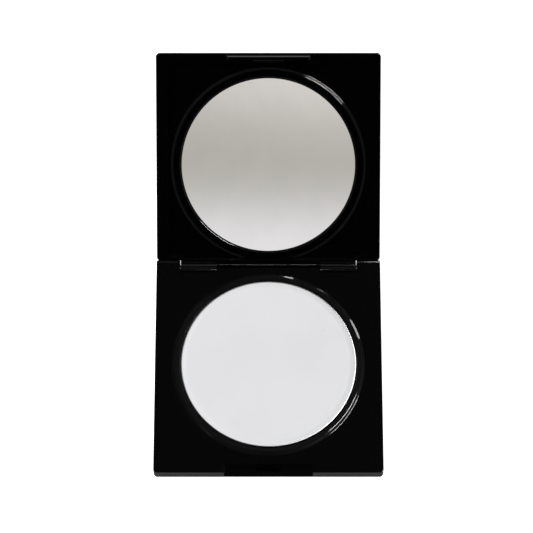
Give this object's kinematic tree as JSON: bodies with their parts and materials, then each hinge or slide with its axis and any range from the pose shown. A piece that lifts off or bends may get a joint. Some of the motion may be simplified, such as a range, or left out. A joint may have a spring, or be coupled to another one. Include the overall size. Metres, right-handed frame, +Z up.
{
  "type": "mirrored compact",
  "caption": "Square black compact open on its hinge: a round mirror in the lid, and a round pressed white cake in a metal pan in the base.",
  "frame": {"origin": "centre of the square base's underside, on the plane that it stands on", "axes": "+Z up, +Y from the latch at the front to the hinge at the rear, +X to the right when the mirror faces the user"},
  "size_m": [0.0764, 0.14, 0.0416],
  "materials": {
    "black_shell": "polished",
    "black_inner": "polished",
    "label": "satin blank film",
    "adhesive": "double-sided foam",
    "pan_metal": "bright pressed sheet",
    "pressed_cake": "fine matt powder",
    "pin_steel": "bright drawn",
    "mirror_glass": "silvered on its back",
    "mirror_silver": "silver layer and grey backing paint"
  },
  "bodies": {
    "base": {"base_body": "black_shell", "bottom_cover": "black_inner", "base_label": "label", "pan_adhesive": "adhesive", "pan": "pan_metal", "cake": "pressed_cake", "hinge_pin_left": "pin_steel", "hinge_pin_right": "pin_steel"},
    "lid": {"lid_shell": "black_shell", "mirror_frame": "black_inner", "mirror_glass": "mirror_glass", "mirror_coating": "mirror_silver", "mirror_adhesive": "adhesive"}
  },
  "joints": [
    {"name": "lid_hinge", "type": "hinge", "parent": "base", "child": "lid", "pos_m": [0, 0.0353, 0.0039], "axis": [1, 0, 0], "range_deg": [0, 150]}
  ]
}
